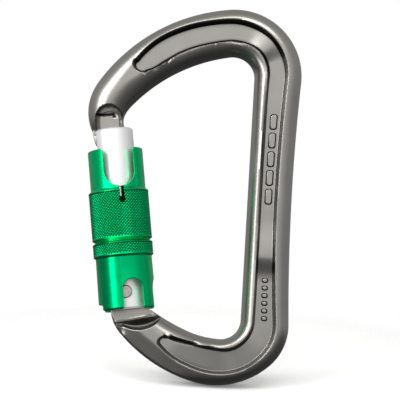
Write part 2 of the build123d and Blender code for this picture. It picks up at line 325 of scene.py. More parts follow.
def hollow_ends(u):
    """Where the hollow at the hinge starts, under the milled tang, and where it ends."""
    return -8.25 + 0.1 * u, -10.3 + 0.05 * (u - 3) ** 2


def step_height(u, w):
    """The height of the face at the hinge: the milled tang, a hollow, then a bright shoulder."""
    pad_end, hollow_end = hollow_ends(u)
    depth = np.maximum(pad_end - hollow_end, 0.8)
    t = (pad_end - w) / depth
    fall = 0.72 * np.sin(np.clip(t, 0, 1) * math.pi / 2)
    climb = np.clip((pad_end - depth - w) / 2.0, 0, None)
    rise = 4.2 * np.where(climb < 1, np.sin(np.clip(climb, 0, 1) * math.pi / 2), 1)
    bead = 0.16 * np.exp(-(((w - pad_end - 0.28) / 0.24) ** 2))
    return TANG_HALF - fall + bead + rise


def end_shade(s, u, w):
    """How much painted shade darkens the recess over the gate and the hollow at the hinge, from 0 to
    1.
    """
    inside, edge = recess_edges(u, w)
    over_pad = smooth(1.5 - np.abs(edge + 0.35) * 2.4) * (inside > 0)
    under_arch = 0.75 * smooth(1.2 - np.abs(inside - 0.25) * 2.5) * (w > 50.5)
    recess = np.where(s < NOSE_END, np.maximum(over_pad, under_arch), 0)
    pad_end, hollow_end = hollow_ends(u)
    depth = np.maximum(pad_end - hollow_end, 0.5)
    t = (pad_end - w) / depth
    hollow = smooth(t / 0.12) * smooth((1.15 - t) / 0.45) * smooth((u + 4.4) / 1.5)
    return np.maximum(recess, np.where(s > HINGE_START, 0.93 * hollow, 0))


def body_grid():
    """Stations along the body with their inner and outer ends."""
    ox, oz, o_walked = walk(OUTER_START, OUTER_HEADING, OUTER_ARCS)
    inner_start = from_gate(THROAT_ACROSS, THROAT_UP)
    ix, iz, i_walked = walk(inner_start, INNER_HEADING, INNER_ARCS)
    ok = knots(OUTER_ARCS)
    ik = knots(INNER_ARCS)
    pairs = [
        (0.0, 0.0),
        (ok[1] + 2, ik[2] + 3.0),
        (ok[2], ik[3]),
        (ok[3], ik[4]),
        (ok[4], ik[5]),
        (ok[5] + 18.8, ik[6]),
        (ok[6] + 6.3, ik[7]),
        (ok[-1], ik[8]),
    ]
    length = ok[-1]
    dense = [
        (0, 14, 0.16), (14, 22, 0.3), (22, 36, 0.2), (60, 100, 0.42), (168, 205, 0.42),
        (205, 214, 0.3), (214, length, 0.17),
    ]
    s = stations(length, dense)
    fine = np.arange(0, length + 0.1, 0.1)
    raw = np.interp(fine, [p[0] for p in pairs], [p[1] for p in pairs])
    kernel = np.hanning(61)
    kernel /= kernel.sum()
    padded = np.concatenate([
        2 * raw[0] - raw[30:0:-1], raw, 2 * raw[-1] - raw[-2:-32:-1]
    ])
    inner_s = np.interp(s, fine, np.convolve(padded, kernel, "valid")[: len(fine)])
    outer = np.stack([np.interp(s, o_walked, ox), np.interp(s, o_walked, oz)], 1)
    inner = np.stack([np.interp(inner_s, i_walked, ix), np.interp(inner_s, i_walked, iz)], 1)
    return s, inner, outer


def groove_lines(s, width):
    """The groove's middle, measured from the inner edge, and its half width at each station."""
    rim_in = along(s, [
        (25.4, 5.3), (30.3, 3.6), (36, 3.55), (43, 3.9), (57, 3.75), (68, 3.55), (80, 3.9),
        (100, 3.5), (165, 3.3), (193, 3.15), (209, 2.7), (215, 3.0), (220, 3.7), (224, 4.8),
    ])
    rim_out = along(s, [
        (25.4, 4.6), (31, 3.5), (38, 2.8), (46, 2.85), (56, 3.3), (68, 3.9), (95, 4.05),
        (165, 3.9), (180, 3.5), (193, 2.8), (203, 3.1), (212, 3.6), (218, 4.1), (224, 5.2),
    ])
    middle = (rim_in + width - rim_out) / 2
    half = (width - rim_in - rim_out) / 2
    return middle, half


def floor_depth(s):
    """How deep the groove is: most round the lower arc, least at two swells of its floor, one at
    the top corner and one low on the spine."""
    depth = GROOVE_DEPTH + 0.5 * smooth((s - 152) / 6) * smooth((206 - s) / 14)
    depth -= 0.85 * bump(s, 81, 10, 8) + 1.0 * bump(s, 150.5, 11, 5)
    return depth


def section_samples(s, width, middle, lane, floor_half, round_in, round_out):
    """The distances from the inner edge at which each station's section is sampled."""
    bands = [
        (0 * s, round_in * 0.9, 10, "inner edge"),
        (round_in * 0.9, middle - lane, 4, "even"),
        (middle - lane, middle - floor_half, 10, "even"),
        (middle - floor_half, middle + floor_half, 9, "even"),
        (middle + floor_half, middle + lane, 10, "even"),
        (middle + lane, width - round_out * 0.9, 4, "even"),
        (width - round_out * 0.9, width, 12, "outer edge"),
    ]
    columns = []
    for low, high, count, kind in bands:
        f = np.arange(count) / count
        if kind == "inner edge":
            f = 1 - np.cos(f * math.pi / 2)
        if kind == "outer edge":
            f = np.sin(f * math.pi / 2)
        columns += [low + (high - low) * v for v in f]
    columns.append(width)
    t = np.maximum.accumulate(np.stack(columns, 1), 1)
    t = np.minimum(t, width[:, None])
    edge = (1 - np.cos(np.linspace(0, math.pi, t.shape[1]))) / 2
    even = (0.75 * np.linspace(0, 1, t.shape[1]) + 0.25 * edge)[None, :] * width[:, None]
    spread = np.maximum(1 - smooth((s - 12) / 10), smooth((s - 224.5) / 4))[:, None]
    return t * (1 - spread) + even * spread


def body_sections():
    """The body's face as arrays, by station and sample: x, z, height and the painted shade in its
    cuts.
    """
    s, inner, outer = body_grid()
    width = np.hypot(*(outer - inner).T)
    length = s[-1]
    middle, half = groove_lines(s, width)
    round_in = along(s, [
        (0, 5.6), (16, 6.6), (26, 5.4), (36, 4.3), (60, 4.2), (165, 3.7), (205, 3.3), (220, 5.2),
        (length, 4.6),
    ])
    round_out = along(s, [
        (0, 5.6), (16, 6.2), (26, 5.2), (38, 3.4), (60, 4.1), (165, 4.1), (193, 3.2), (210, 4.0),
        (length, 5.0),
    ])
    into = np.minimum(s - TOP_TIP, LOW_TIP - s)
    cap = np.where(s < MID_BODY, TOP_TIP_RADIUS, LOW_TIP_RADIUS)
    half = np.maximum(half, cap * 0.99)
    cap_half = np.sqrt(np.clip(cap**2 - np.clip(cap - into, 0, cap) ** 2, 0, None))
    reach = np.where(into < cap, np.minimum(cap_half, half), half)
    reach = np.where(into <= 0, 0.0, reach)
    lane = np.clip(reach, 0.35, None)
    floor_half = np.clip(reach - WALL_OUT - 0.15, 0.12, None)
    t = section_samples(s, width, middle, lane, floor_half, round_in, round_out)
    from_outer = width[:, None] - t
    rise_out = fullness(from_outer, round_out[:, None])
    bevel = soft_min(fullness(from_outer, 1.5) * 1.1, 0.76 + 0.052 * from_outer, 0.04)
    bevel = soft_min(bevel, 1 + 0 * from_outer, 0.03)
    bevelled = (smooth((s - 200) / 14) * smooth((238 - s) / 6))[:, None]
    rise_out = rise_out * (1 - bevelled) + bevel * bevelled
    height = HALF * fullness(t, round_in[:, None]) * rise_out
    q = np.abs(t - middle[:, None])
    ahead = into[:, None]
    radius = cap[:, None]
    straight = half[:, None] - q
    round_end = radius - np.hypot(np.clip(radius - ahead, 0, None), q)
    inside = np.where(ahead < radius, np.minimum(round_end, straight), straight)
    across_middle = smooth((t - middle[:, None]) / 1.5 + 0.5)
    wall = WALL_IN + (WALL_OUT - WALL_IN) * across_middle
    lean = FLOOR_LEAN * (smooth((s - 168) / 20) * smooth((222 - s) / 8))[:, None]
    height -= (floor_depth(s)[:, None] + lean * (t - middle[:, None])) * smooth(inside / wall)
    # Painted shade: darkens the groove's walls and the edges of its floor, reaching further in round
    # the arch.
    on_arch = smooth((105 - s) / 20)[:, None]
    limit = 1.1 + on_arch * (0.55 - 0.43 * across_middle)
    painted_shade = smooth(inside / wall / 0.3 - 0.3) * smooth((limit - inside / wall) / 0.35)
    share = t / width[:, None]
    x = inner[:, 0][:, None] * (1 - share) + outer[:, 0][:, None] * share
    z = inner[:, 1][:, None] * (1 - share) + outer[:, 1][:, None] * share
    u, w = to_gate(x, z)
    row = s[:, None] + 0 * t
    height = np.where(row < NOSE_END, soft_min(height, recess_height(u, w), 0.12), height)
    height = np.where(row > HINGE_START, soft_min(height, step_height(u, w), 0.25), height)
    return x, z, np.maximum(height, 0), np.maximum(painted_shade, end_shade(row, u, w))


def forged_strip():
    """The body's closed mesh without the nose and the hinge eye."""
    x, z, h, painted_shade = body_sections()
    front = np.stack([x, -h, z], 2)
    back = np.stack([x, h, z], 2)[:, 1:-1][:, ::-1]
    points = np.concatenate([front, back], 1)
    faces = closed_tube(len(x), points.shape[1])
    strip = new_object("body_forging", points.reshape(-1, 3), faces, 60)
    # The back face gets the same painted shade as the front.
    both = np.concatenate([painted_shade, painted_shade[:, 1:-1][:, ::-1]], 1)
    mark_painted_shade(strip, both.reshape(-1))
    return strip


def nose_outline():
    """The neck of the nose in the gate's plane."""
    return [
        (-5.1, 43.9), (2.7, 43.7), (3.2, 44.3), (3.2, 52.3), (-4.4, 52.3), (-6.2, 49.2), (-6.0, 47),
    ]


def head_outline():
    """The head of the nose, which the gate's lips close over."""
    return [(-5.65, 45.0), (-5.0, 43.8), (2.6, 43.7), (3.2, 44.3), (3.2, 47.35), (-6.12, 47.35)]


def tang_outline():
    """The hinge eye: round at the top, with a cam for the gate's plunger."""
    points = [
        (-5.0, -3.0), (-5.0, -6.0), (-4.3, -8.2), (6.1, -7.2), (6.3, -6.2), (6.1, -3), (6.2, 0),
    ]
    for i in range(9):
        angle = 42 + 48 * i / 8
        r = 6.1 + 2.64 * math.radians(90 - angle) - 2.35
        points.append((r * math.cos(math.radians(angle)), r * math.sin(math.radians(angle))))
    for i in range(1, 8):
        angle = math.radians(90 + 10 * i)
        points.append((3.9 * math.cos(angle), 3.9 * math.sin(angle)))
    return points


def make_body():
    """The forged frame in one mesh, with its nose and its hinge eye."""
    body = forged_strip()
    neck = prism("neck", nose_outline(), NECK_HALF - 0.05, 0.35)
    head = prism("head", head_outline(), 2.5, 0.3)
    eye = prism("eye", tang_outline(), TANG_HALF - 0.04, 0.25)
    for part in (neck, head, eye):
        boolean(body, part, "UNION")
    soften(body, 60)
    return body


body_piece = make_body()


# ---------------------------------------------------------------- relief on the web
PANEL_TOP = -16.6
PANEL_PITCH = 5.6
PANEL_COUNT = 5
PANEL_SIZE = (1.15, 2.4, 0.55)
STUD_TOP = -66.6
STUD_PITCH = 2.25
STUD_COUNT = 6
STUD_SIZE = (0.95, 0.75, 0.4)
# For each ring of a plate: how far it is inside the outline, how far out it stands, its painted
# shade
PLATE_LEVELS = (
    (0.0, -0.4, 1.0),
    (0.0, 0.04, 1.0),
    (0.3, 0.05, 1.0),
    (0.32, 0.2, 0.6),
    (0.42, 0.24, 0.0),
)


def web_point(z):
    """The middle of the spine's web at a height: its X, its lean and how far its face stands out."""
    s, inner, outer = body_grid()
    width = np.hypot(*(outer - inner).T)
    middle, _ = groove_lines(s, width)
    share = (middle / width)[:, None]
    line = inner * (1 - share) + outer * share
    on_spine = (line[:, 0] > 5) & (line[:, 1] < 0) & (line[:, 1] > -90)
    order = np.argsort(line[on_spine, 1])
    heights = line[on_spine, 1][order]
    x = np.interp(z, heights, line[on_spine, 0][order])
    below = np.interp(z - 1, heights, line[on_spine, 0][order])
    place = np.interp(z, heights, s[on_spine][order])
    return x, x - below, HALF - floor_depth(np.array([place]))[0]


def lozenge(a, b, cut):
    """The outline of a plate of half width a and half height b, with its corners cut off."""
    return [
        (-a, -b + cut), (-a + cut, -b), (a - cut, -b), (a, -b + cut),
        (a, b - cut), (a - cut, b), (-a + cut, b), (-a, b - cut),
    ]


def raised_plate(name, z, outline):
    """A closed plate, sunk into the web, with a ledge painted dark as shade around a raised middle.
    """
    x, lean, face = web_point(z)
    outline = np.array(outline, float)
    size = np.abs(outline).max(0)
    points, shade = [], []
    for inset, proud, dark in PLATE_LEVELS:
        for across, up in outline * (1 - inset / size):
            points.append((x + across + lean * up, -(face + proud), z + up))
            shade.append(dark)
    plate = new_object(name, points, closed_tube(len(PLATE_LEVELS), len(outline)), 20)
    mark_painted_shade(plate, shade)
    return plate


def make_relief():
    """A plain row of lozenges above and of studs below, in place of any marks."""
    pieces = []
    for i in range(PANEL_COUNT):
        z = PANEL_TOP - PANEL_PITCH * (i + 0.5)
        pieces.append(raised_plate(f"web_lozenge_{i + 1}", z, lozenge(*PANEL_SIZE)))
    for i in range(STUD_COUNT):
        z = STUD_TOP - STUD_PITCH * i
        pieces.append(raised_plate(f"web_stud_{i + 1}", z, lozenge(*STUD_SIZE)))
    return pieces


relief_pieces = make_relief()


# ---------------------------------------------------------------- locking barrel
BARREL_FOOT = -5.13
BARREL_TOP = 42.53
BORE = 6.9
TRACK_BORE = 5.83
SKIRT = 8.3
COLLAR = 8.15
KNURL = 8.93
KNURL_DEPTH = 0.27
KNURL_COUNT = 60
KNURL_STEPS = 4
KNURL_ROW = math.pi * KNURL / KNURL_COUNT / KNURL_STEPS
KNURL_TOP = 29.9
RING_POINTS = KNURL_COUNT * KNURL_STEPS
NOSE_SIDE = 8.4
SLIT_HALF = 0.72
SLIT_BOTTOM = 27.2
SLIT_TOP = 31.6
SLIT_FLOOR = 7.5
SLIT_SHADED = (26.9, 31.1)
HOLE_RADIUS = 0.95
HOLE_UP = 26.96
# Half width, round end, open end and flare
NOSE_WINDOW = (4.45, 31.02, 43.73, 0.9)
HINGE_ARCH = (3.05, 3.57, -6.33, 0.4)
ARCH_SIDES = (16.7, 90.0, 196.7)
# Radii, heights and angles
GUIDE_TRACK = (5.3, 7.45, 7.13, 11.87, 142.0, 265.0)
ARC_STEP = 0.12
LEG_RADIUS = 0.36
LEG_SIDE = -0.3
LEG_FOOT = 27.55
LEG_LENGTH = 3.4
# Where each knurled band starts and how many rows it has
RING_KNURL = (10.98, 30)
GRIP_KNURL = (15.95, 118)


def rounded(points, radii):
    """A polyline with its corners rounded, as an array of points."""
    path = [np.array(points[0], float)]
    for i in range(1, len(points) - 1):
        a, b, c = (np.array(points[k], float) for k in (i - 1, i, i + 1))
        radius = radii[i]
        if not radius:
            path.append(b)
            continue
        first = (a - b) / np.linalg.norm(a - b)
        second = (c - b) / np.linalg.norm(c - b)
        half = math.acos(np.clip(first @ second, -1, 1)) / 2
        reach = radius / math.tan(half)
        middle = b + (first + second) / np.linalg.norm(first + second) * radius / math.sin(half)
        start = b + first * reach - middle
        end = b + second * reach - middle
        sweep = math.pi - 2 * half
        count = max(3, int(radius * sweep / ARC_STEP) + 1)
        for k in range(count + 1):
            f = k / count
            mix = (math.sin((1 - f) * sweep) * start + math.sin(f * sweep) * end) / math.sin(sweep)
            path.append(middle + mix)
    path.append(np.array(points[-1], float))
    return np.array(path)


def ring(radius, height, offset=0.0):
    """A circle of points about the gate axis."""
    angle = (np.arange(RING_POINTS) + offset) * 2 * math.pi / RING_POINTS
    radius = radius + 0 * angle
    return np.stack([radius * np.sin(angle), -radius * np.cos(angle), height + 0 * angle], 1)


def knurl_rings(start, rows):
    """Rows of points on crossed V cuts. Every cut and crest runs along the mesh's own edges."""
    rings = []
    for k in range(rows + 1):
        place = (2 * np.arange(RING_POINTS) + k % 2) / (2 * KNURL_STEPS)
        lead = k / (2 * KNURL_STEPS)
        crests = []
        for turn in (place + lead, place - lead):
            crests.append(1 - np.abs(2 * (turn - np.floor(turn)) - 1))
        crest = np.minimum(np.minimum(*crests) * 1.3, 1)
        edge = min(k, rows - k) * KNURL_ROW
        cut = KNURL_DEPTH * (1 - crest) * smooth(edge / 0.35)
        rings.append(ring(KNURL - cut, start + k * KNURL_ROW, (k % 2) / 2))
    return rings


def lattice_faces(start, rows, count):
    """Diamonds over rings that are each shifted by half a step, and triangles at the ends."""
    faces = []
    for k in range(1, rows):
        here = start + k * count
        shift = k % 2
        for i in range(count):
            under = here - count + (i + shift) % count
            over = here + count + (i + shift) % count
            left = here + i
            right = here + (i + 1) % count
            if shift == 0:
                under = here - count + i
                over = here + count + i
            faces.append((left, under, right, over))
    for i in range(count):
        faces.append((start + i, start + (i + 1) % count, start + count + i))
        top = start + rows * count
        faces.append((top + (i + 1) % count, top + i, top - count + i))
    return faces


def barrel_shell():
    """The turned barrel with its knurled bands, before the windows are cut."""
    ring_start, ring_rows = RING_KNURL
    grip_start, grip_rows = GRIP_KNURL
    ring_end = ring_start + ring_rows * KNURL_ROW
    grip_end = grip_start + grip_rows * KNURL_ROW
    profiles = [
        rounded(
            [
                (7.0, BARREL_FOOT), (8.5, BARREL_FOOT), (SKIRT, 10.35), (KNURL, 10.9),
                (KNURL, ring_start),
            ],
            [0, 0.62, 0.35, 0.12, 0],
        ),
        (ring_start, ring_rows),
        rounded(
            [
                (KNURL, ring_end), (KNURL, 14.57), (7.98, 15.19), (KNURL, 15.81),
                (KNURL, grip_start),
            ],
            [0, 0.12, 0.12, 0.12, 0],
        ),
        (grip_start, grip_rows),
        rounded(
            [
                (KNURL, grip_end), (KNURL, KNURL_TOP), (COLLAR, 30.6), (COLLAR, BARREL_TOP),
                (BORE, BARREL_TOP), (BORE, 13.0), (TRACK_BORE, 13.0), (TRACK_BORE, 9.0),
                (BORE, 9.0), (BORE, -4.9), (7.0, BARREL_FOOT),
            ],
            [0, 0.15, 0.3, 0.42, 0.3, 0, 0.1, 0.1, 0, 0.1, 0],
        )[:-1],
    ]
    count = RING_POINTS
    rings, faces = [], []
    for profile in profiles:
        start = len(rings)
        if isinstance(profile, tuple):
            lattice = knurl_rings(*profile)
            faces += lattice_faces((start - 1) * count, profile[1], count)
            rings += lattice[1:]
        else:
            skip = 1 if rings else 0
            for k, (radius, height) in enumerate(profile[skip:]):
                if rings:
                    faces += ring_faces((start + k - 1) * count, (start + k) * count, count)
                rings.append(ring(radius, height))
    faces += ring_faces((len(rings) - 1) * count, 0, count)
    return new_object("barrel_shell", place_on_gate(np.concatenate(rings)), faces, 75)


def slot_outline(half, round_at, open_at, corner):
    """A slot's outline as (across, up): round at one end, open and flared at the other."""
    up = 1 if open_at > round_at else -1
    centre = round_at + up * half
    points = []
    for k in range(25):
        angle = math.pi * k / 24
        points.append((-half * math.cos(angle), centre - up * half * math.sin(angle)))
    rim = open_at - up * 1.2
    heights = np.arange(centre, rim - up * corner, up * 0.3)[1:]
    right = [(half, h) for h in heights]
    for k in range(9):
        angle = math.pi / 2 * k / 8
        flare = corner * (1 - math.cos(angle))
        right.append((half + flare, rim - up * corner + up * corner * math.sin(angle)))
    right.append((half + corner, open_at))
    left = [(-a, h) for a, h in right[::-1]]
    points += right + left
    return np.array(points)


def circle_outline(radius, middle):
    """A round hole's outline as (across, up)."""
    angle = np.arange(28) * 2 * math.pi / 28
    return np.stack([radius * np.cos(angle), middle + radius * np.sin(angle)], 1)


def outward(outline):
    """The outward direction at each point of a closed outline."""
    step = np.roll(outline, -1, 0) - np.roll(outline, 1, 0)
    normal = np.stack([step[:, 1], -step[:, 0]], 1)
    normal /= np.linalg.norm(normal, axis=1)[:, None]
    ahead = np.roll(outline, -1, 0)
    area = np.sum(outline[:, 0] * ahead[:, 1] - ahead[:, 0] * outline[:, 1])
    return normal if area > 0 else -normal


def window_cutter(name, outline, angle, surface, rim, start=1.0):
    """A cutter from the start radius out through one side of the barrel, with a rounded rim."""
    normal = outward(outline)
    rings = []
    levels = [(None, 0.0), (surface - rim, 0.0)]
    for k in range(1, 5):
        turn = math.pi / 2 * k / 4
        levels.append((surface - rim + rim * math.sin(turn), rim * (1 - math.cos(turn))))
    levels.append((surface + 1.6, rim + 0.02))
    for radius, offset in levels:
        p = outline + normal * offset
        if radius is None:
            depth = np.full(len(p), -start)
        else:
            depth = -np.sqrt(np.maximum(radius**2 - p[:, 0] ** 2, 0.2))
        rings.append(np.stack([p[:, 0], depth, p[:, 1]], 1))
    points = np.concatenate(rings)
    turn = math.radians(angle)
    x = points[:, 0] * math.cos(turn) - points[:, 1] * math.sin(turn)
    y = points[:, 0] * math.sin(turn) + points[:, 1] * math.cos(turn)
    points = np.stack([x, y, points[:, 2]], 1)
    return new_object(name, place_on_gate(points), closed_tube(len(rings), len(outline)))


def sector(name, inner, outer, low, high, first, last):
    """A part of a ring about the gate axis, between two angles in degrees."""
    count = 40
    angle = np.radians(np.linspace(first, last, count))
    points = []
    for r, h in ((inner, low), (outer, low), (outer, high), (inner, high)):
        points.append(np.stack([r * np.sin(angle), -r * np.cos(angle), 0 * angle + h], 1))
    points = np.stack(points, 1).reshape(-1, 3)
    return new_object(name, place_on_gate(points), closed_tube(count, 4))


def slit_outline():
    """The slit for the spring's leg, open at the top into the nose window."""
    return np.array([
        (-SLIT_HALF, SLIT_BOTTOM), (SLIT_HALF, SLIT_BOTTOM), (SLIT_HALF, SLIT_TOP),
        (-SLIT_HALF, SLIT_TOP),
    ])


def shallow_outline():
    """The low step across the barrel's foot on its outer side."""
    return np.array([
        (-4.5, -6.6), (4.5, -6.6), (4.5, -4.0), (4.2, -3.4), (3.6, -3.15), (-3.6, -3.15),
        (-4.2, -3.4), (-4.5, -4.0),
    ])


def make_barrel():
    """The barrel with its windows, slit, hole and foot cuts."""
    barrel = barrel_shell()
    nose = slot_outline(*NOSE_WINDOW)
    hole = circle_outline(HOLE_RADIUS, HOLE_UP)
    cutters = [
        window_cutter("nose_window", nose, NOSE_SIDE, COLLAR, 0.22),
        window_cutter("slit", slit_outline(), NOSE_SIDE, KNURL, 0.12, SLIT_FLOOR),
        window_cutter("slit_hole", hole, NOSE_SIDE, KNURL, 0.16, SLIT_FLOOR),
        window_cutter("outer_step", shallow_outline(), -90, SKIRT, 0.15, 4.0),
    ]
    arch = slot_outline(*HINGE_ARCH)
    for angle in ARCH_SIDES:
        cutters.append(window_cutter(f"arch_{round(angle)}", arch, angle, SKIRT, 0.2))
    cutters.append(sector("guide_track", *GUIDE_TRACK))
    for cutter in cutters:
        boolean(barrel, cutter, "DIFFERENCE")
    soften(barrel, 50)
    shade_cuts(barrel)
    return barrel


def shade_cuts(barrel):
    """Paints shade into the knurl's cuts, by depth from 0 to 1, and into the slit and its hole, as
    2.
    """
    offset = vertices_of(barrel.data) / MM - RIVET
    height = offset @ AXIS
    radius = np.linalg.norm(offset - height[:, None] * AXIS, axis=1)
    in_band = (height > RING_KNURL[0]) & (height < KNURL_TOP) & (radius < KNURL) & (radius > SKIRT)
    deep = np.where(in_band, np.clip((KNURL - radius) / KNURL_DEPTH, 0, 1), 0)
    turn = math.radians(NOSE_SIDE)
    sideways = offset @ ACROSS * math.cos(turn) + offset[:, 1] * math.sin(turn)
    in_slit = (height > SLIT_SHADED[0]) & (height < SLIT_SHADED[1])
    in_slit &= np.abs(sideways) < SLIT_HALF + 0.04
    in_slit |= np.hypot(sideways, height - HOLE_UP) < HOLE_RADIUS + 0.05
    in_slit &= (offset[:, 1] < 0) & (radius < 8.75) & (radius > BORE + 0.1)
    mark_painted_shade(barrel, np.where(in_slit, 2, deep))


barrel_piece = make_barrel()


def round_bar(name, path, radius):
    """A closed bar with domed ends along a path of (across, back, up) points."""
    sides = 14
    path = np.array(path, float)
    step = np.gradient(path, axis=0)
    step /= np.linalg.norm(step, axis=1)[:, None]
    first = np.cross(step, [0.3, 0.9, 0.1])
    first /= np.linalg.norm(first, axis=1)[:, None]
    second = np.cross(step, first)
    walked = np.concatenate([[0], np.cumsum(np.linalg.norm(np.diff(path, axis=0), axis=1))])
    end = np.minimum(walked, walked[-1] - walked)
    size = radius * np.sqrt(np.clip(1 - (1 - np.clip(end / radius, 0, 1)) ** 2, 0.02, 1))
    angle = np.arange(sides) * 2 * math.pi / sides
    spokes = first[:, None] * np.cos(angle)[:, None] + second[:, None] * np.sin(angle)[:, None]
    points = (path[:, None] + spokes * size[:, None, None]).reshape(-1, 3)
    return new_object(name, place_on_gate(points), closed_tube(len(path), sides), 60)


def make_spring_leg():
    """The end of the barrel's spring, bent out into the slit so that the barrel winds it."""
    turn = math.radians(NOSE_SIDE)
    steps = 33
    path = []
    for k in range(steps + 1):
        up = LEG_FOOT + LEG_LENGTH * k / steps
        radius = 8.25 - 0.55 * smooth(np.float64((up - 30.2) / 0.8))
        path.append((
            LEG_SIDE * math.cos(turn) + radius * math.sin(turn),
            LEG_SIDE * math.sin(turn) - radius * math.cos(turn),
            up,
        ))
    return round_bar("spring_leg", path, LEG_RADIUS)


leg_piece = make_spring_leg()


# ---------------------------------------------------------------- materials
# The part of a noise's range that spreads over the whole of a colour or a value
NOISE_SPAN = (0.3, 0.7)


class Shader:
    """A node tree built a node at a time."""

    def __init__(self, name):
        self.material = bpy.data.materials.new(name)
        self.material.use_nodes = True
        self.tree = self.material.node_tree
        self.tree.nodes.clear()
        self.output = self.node("ShaderNodeOutputMaterial")
        self.bsdf = self.node("ShaderNodeBsdfPrincipled")
        self.link(self.bsdf.outputs[0], self.output.inputs[0])
        coordinates = self.node("ShaderNodeTexCoord")
        self.place = coordinates.outputs["Object"]

    def node(self, kind, **values):
        made = self.tree.nodes.new(kind)
        for key, value in values.items():
            setattr(made, key, value)
        return made

    def link(self, a, b):
        self.tree.links.new(a, b)

    def scaled(self, scale, turn=(0, 0, 0)):
        """The piece's own coordinates in millimetres, stretched and turned."""
        mapping = self.node("ShaderNodeMapping")
        mapping.inputs["Rotation"].default_value = turn
        mapping.inputs["Scale"].default_value = [v / MM for v in scale]
        self.link(self.place, mapping.inputs[0])
        return mapping.outputs[0]

    def noise(self, scale, turn=(0, 0, 0), detail=4.0, roughness=0.55):
        """Noise with so many features a millimetre along each axis."""
        made = self.node("ShaderNodeTexNoise")
        made.inputs["Scale"].default_value = 1.0
        made.inputs["Detail"].default_value = detail
        made.inputs["Roughness"].default_value = roughness
        self.link(self.scaled(scale, turn), made.inputs["Vector"])
        return made.outputs["Fac"]

    def span(self, value, low, high, source=NOISE_SPAN):
        """A value spread from low to high as the input crosses the source range."""
        made = self.node("ShaderNodeMapRange")
        made.inputs[1].default_value = source[0]
        made.inputs[2].default_value = source[1]
        made.inputs[3].default_value = low
        made.inputs[4].default_value = high
        self.link(value, made.inputs[0])
        return made.outputs[0]

    def tint(self, value, dark, light):
        """A colour between two, by a noise."""
        ramp = self.node("ShaderNodeValToRGB")
        for element, place, colour in zip(ramp.color_ramp.elements, NOISE_SPAN, (dark, light)):
            element.position = place
            element.color = (*colour, 1)
        self.link(value, ramp.inputs[0])
        return ramp.outputs[0]

    def mix(self, share, first, second):
        """One colour, or another where share is 1."""
        made = self.node("ShaderNodeMix", data_type="RGBA")
        self.link(share, made.inputs[0])
        for socket, colour in ((made.inputs[6], first), (made.inputs[7], second)):
            if hasattr(colour, "is_linked"):
                self.link(colour, socket)
            else:
                socket.default_value = colour
        return made.outputs[2]

    def shade_by(self, depth):
        """How much painted shade darkens the cuts: up to half in the knurl and wholly in the slit.
        """
        made = self.node("ShaderNodeMath", operation="POWER", use_clamp=True)
        made.inputs[1].default_value = 0.95
        self.link(self.span(depth, 0, 1, (0, 2)), made.inputs[0])
        return made.outputs[0]

    def bump(self, value, distance, strength, under=None):
        """A surface normal from a height, over another normal."""
        made = self.node("ShaderNodeBump")
        made.inputs["Strength"].default_value = strength
        made.inputs["Distance"].default_value = distance * MM
        self.link(value, made.inputs["Height"])
        if under is not None:
            self.link(under, made.inputs["Normal"])
        return made.outputs[0]

    def set(self, **values):
        """Sets or links the surface's inputs by name."""
        for key, value in values.items():
            socket = self.bsdf.inputs[key.replace("_", " ")]
            if hasattr(value, "is_linked"):
                self.link(value, socket)
            else:
                socket.default_value = value


LEAN = (0, -math.atan2(-AXIS[0], AXIS[2]), 0)


def forged_alloy():
    """Tumbled and polished aluminium with a warm grey anodised finish, and painted shade, near
    black, in the cuts.
    """
    s = Shader("forged_alloy")
    cloud = s.noise((0.07, 0.07, 0.07), detail=3)
    grain = s.noise((1.6, 1.6, 1.6), detail=4, roughness=0.6)
    drag = s.noise((0.12, 2.4, 0.12), detail=3, roughness=0.5)
    painted_shade = s.node("ShaderNodeAttribute", attribute_name="painted_shade")
    # Painted shade: the colour goes to near black where the painted shade attribute is set.
    colour = s.mix(
        painted_shade.outputs["Fac"],
        s.tint(cloud, (0.385, 0.375, 0.355), (0.455, 0.44, 0.41)),
        (0.012, 0.012, 0.012, 1),
    )
    s.set(
        Base_Color=colour,
        Metallic=1.0,
        Roughness=s.span(grain, 0.28, 0.31),
        Normal=s.bump(drag, 0.0025, 0.2, s.bump(grain, 0.0012, 0.15)),
    )
    return s.material


def anodised_green():
    """Turned aluminium, anodised green, with fine turning lines."""
    s = Shader("barrel_alloy")
    cloud = s.noise((0.2, 0.2, 0.2), LEAN)
    lines = s.noise((0.15, 0.15, 22.0), LEAN, detail=3)
    grain = s.noise((6.0, 6.0, 6.0), detail=4)
    painted_shade = s.node("ShaderNodeAttribute", attribute_name="painted_shade")
    green = s.tint(cloud, (0.0, 0.60, 0.20), (0.0, 0.70, 0.24))
    # Painted shade: the knurl's cuts, the slit and its hole go toward near black.
    s.set(
        Base_Color=s.mix(s.shade_by(painted_shade.outputs["Fac"]), green, (0, 0.02, 0.006, 1)),
        Metallic=1.0,
        Roughness=s.span(grain, 0.285, 0.33),
        Normal=s.bump(lines, 0.005, 0.25),
    )
    return s.material


def satin_silver():
    """Clear anodised aluminium, turned and satin."""
    s = Shader("gate_alloy")
    lines = s.noise((0.15, 0.15, 14.0), LEAN, detail=3)
    grain = s.noise((3.0, 3.0, 3.0), detail=5)
    s.set(
        Base_Color=s.tint(grain, (0.90, 0.90, 0.915), (0.95, 0.95, 0.96)),
        Metallic=0.6,
        Roughness=s.span(grain, 0.36, 0.46),
        Normal=s.bump(lines, 0.005, 0.25),
    )
    return s.material


def steel(name, dark, light, rough, scale):
    """Steel with marks of making along one direction."""
    s = Shader(name)
    lines = s.noise(scale, LEAN, detail=5)
    spots = s.noise((1.2, 1.2, 1.2), detail=6)
    s.set(
        Base_Color=s.tint(spots, dark, light),
        Metallic=1.0,
        Roughness=s.span(lines, *rough),
        Normal=s.bump(lines, 0.01, 0.4),
    )
    return s.material


